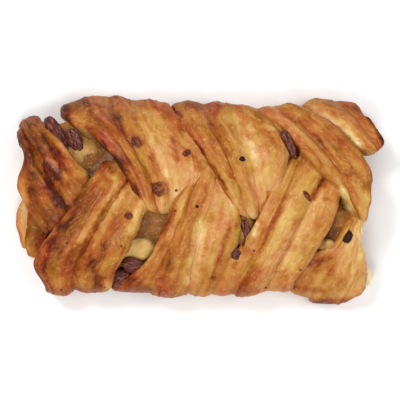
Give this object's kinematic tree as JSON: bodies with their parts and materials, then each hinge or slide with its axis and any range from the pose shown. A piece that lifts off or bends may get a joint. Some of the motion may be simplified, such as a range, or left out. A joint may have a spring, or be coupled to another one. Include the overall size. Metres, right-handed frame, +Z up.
{
  "type": "maple pecan plait",
  "caption": "Baked plaited pastry: flaky dough strips folded from both sides over a filling, with nut pieces in the gaps.",
  "frame": {"origin": "on the table, under the middle of the pastry's bounding box", "axes": "+X along the pastry, +Y towards the side shown at the top of the picture, +Z up"},
  "size_m": [0.1246, 0.0711, 0.0261],
  "materials": {
    "dough": "baked flaky pastry with a thin sugar glaze",
    "filling": "sticky, slightly clear maple filling",
    "pecan": "toasted nut skin"
  },
  "bodies": {
    "root": {"dough": "dough", "filling": "filling", "pecan_1": "pecan", "pecan_2": "pecan", "pecan_3": "pecan", "pecan_4": "pecan", "pecan_5": "pecan", "pecan_6": "pecan", "pecan_7": "pecan"}
  },
  "joints": []
}
